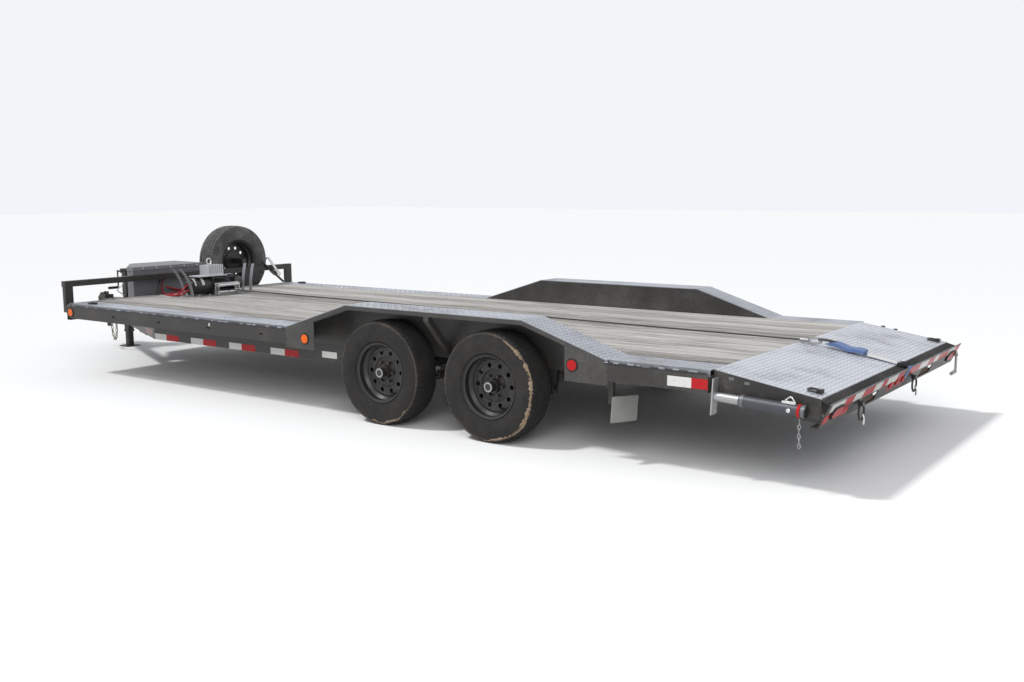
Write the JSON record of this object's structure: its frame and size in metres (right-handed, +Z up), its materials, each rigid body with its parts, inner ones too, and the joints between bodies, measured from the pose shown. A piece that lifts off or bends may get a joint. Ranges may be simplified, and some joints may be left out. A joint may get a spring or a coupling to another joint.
{
  "type": "car hauler trailer",
  "caption": "Tandem-axle flatbed car hauler trailer with drive-over fenders, dovetail with rear jacks, deck winch, tongue toolbox and a spare wheel.",
  "frame": {"origin": "on the ground, midway along the overall length and on the centre line", "axes": "+X forward to the coupler, +Y to the left side, +Z up"},
  "size_m": [8.1785, 2.603, 1.211],
  "materials": {
    "deck_wood": "weathered",
    "tread_plate": "worn satin",
    "frame_paint": "satin",
    "box_paint": "satin",
    "jack_steel": "zinc plated",
    "grey_steel": "galvanised",
    "tyre_rubber": "matte",
    "wheel_paint": "satin",
    "spring_steel": "dusty",
    "winch_paint": "satin",
    "bright_steel": "polished",
    "dark_rope": "braided",
    "blue_webbing": "woven",
    "red_cable": "matte",
    "amber_lens": "gloss",
    "red_lens": "gloss",
    "chain_steel": "zinc plated",
    "plate_blank": "painted"
  },
  "bodies": {
    "trailer": {"amber_lamps": "amber_lens", "axle_clamps": "frame_paint", "axles": "frame_paint", "brake_plates": "frame_paint", "cleat_comb": "tread_plate", "coupler": "frame_paint", "crossmembers": "frame_paint", "deck_edge_plates": "tread_plate", "deck_planks": "deck_wood", "dovetail_beams": "frame_paint", "dovetail_plate": "tread_plate", "equalizers": "frame_paint", "fender_skirts": "frame_paint", "fender_tops": "tread_plate", "fender_walls": "frame_paint", "front_header": "frame_paint", "headache_bar": "frame_paint", "jack_housing": "frame_paint", "leaf_springs": "spring_steel", "main_rails": "frame_paint", "number_plate": "plate_blank", "plate_bracket": "frame_paint", "rear_bumper": "frame_paint", "red_lamps": "red_lens", "safety_chains": "chain_steel", "shackle_links": "frame_paint", "side_rails": "frame_paint", "spare_carrier": "frame_paint", "spare_rim": "wheel_paint", "spare_tyre": "tyre_rubber", "spring_hangers": "frame_paint", "stowed_crank": "jack_steel", "tie_rings": "frame_paint", "tie_strap": "blue_webbing", "tongue_rails": "frame_paint", "toolbox": "box_paint", "tow_hook": "bright_steel", "winch_body": "winch_paint", "winch_control_box": "winch_paint", "winch_fairlead": "bright_steel", "winch_lead_lower": "red_cable", "winch_lead_upper": "red_cable", "winch_mount": "winch_paint", "winch_rope": "dark_rope"},
    "wheel_front_left": {"tyre_front_left": "tyre_rubber", "wheel_front_left": "wheel_paint"},
    "wheel_front_right": {"tyre_front_right": "tyre_rubber", "wheel_front_right": "wheel_paint"},
    "wheel_rear_left": {"tyre_rear_left": "tyre_rubber", "wheel_rear_left": "wheel_paint"},
    "wheel_rear_right": {"tyre_rear_right": "tyre_rubber", "wheel_rear_right": "wheel_paint"},
    "jack_leg": {"jack_leg": "jack_steel"},
    "toolbox_lid": {"toolbox_lid": "box_paint"},
    "rear_jack_left": {"rear_jack_tube_left": "grey_steel", "rear_jack_leg_left": "jack_steel"},
    "ramp_left": {"ramp_left": "frame_paint"},
    "rear_jack_right": {"rear_jack_tube_right": "grey_steel", "rear_jack_leg_right": "jack_steel"},
    "ramp_right": {"ramp_right": "frame_paint"}
  },
  "joints": [
    {"name": "spin_front_left", "type": "hinge", "parent": "trailer", "child": "wheel_front_left", "pos_m": [-0.99975, 1.178, 0.354], "axis": [0, 1, 0], "continuous": true},
    {"name": "spin_front_right", "type": "hinge", "parent": "trailer", "child": "wheel_front_right", "pos_m": [-0.99975, -1.178, 0.354], "axis": [0, 1, 0], "continuous": true},
    {"name": "spin_rear_left", "type": "hinge", "parent": "trailer", "child": "wheel_rear_left", "pos_m": [-1.91375, 1.178, 0.354], "axis": [0, 1, 0], "continuous": true},
    {"name": "spin_rear_right", "type": "hinge", "parent": "trailer", "child": "wheel_rear_right", "pos_m": [-1.91375, -1.178, 0.354], "axis": [0, 1, 0], "continuous": true},
    {"name": "jack_lift", "type": "slide", "parent": "trailer", "child": "jack_leg", "axis": [0, 0, 1], "range_m": [-0.2, 0.13]},
    {"name": "toolbox_lid_hinge", "type": "hinge", "parent": "trailer", "child": "toolbox_lid", "pos_m": [2.70725, 0.148, 0.837], "axis": [0, -1, 0], "range_deg": [0, 80]},
    {"name": "rear_jack_swing_left", "type": "hinge", "parent": "trailer", "child": "rear_jack_left", "pos_m": [-3.86175, 1.2595, 0.444], "axis": [0, 1, 0], "range_deg": [0, 90]},
    {"name": "ramp_slide_left", "type": "slide", "parent": "trailer", "child": "ramp_left", "axis": [-1, 0, 0], "range_m": [0, 1.2]},
    {"name": "rear_jack_swing_right", "type": "hinge", "parent": "trailer", "child": "rear_jack_right", "pos_m": [-3.86175, -1.2595, 0.444], "axis": [0, 1, 0], "range_deg": [0, 90]},
    {"name": "ramp_slide_right", "type": "slide", "parent": "trailer", "child": "ramp_right", "axis": [-1, 0, 0], "range_m": [0, 1.2]}
  ]
}
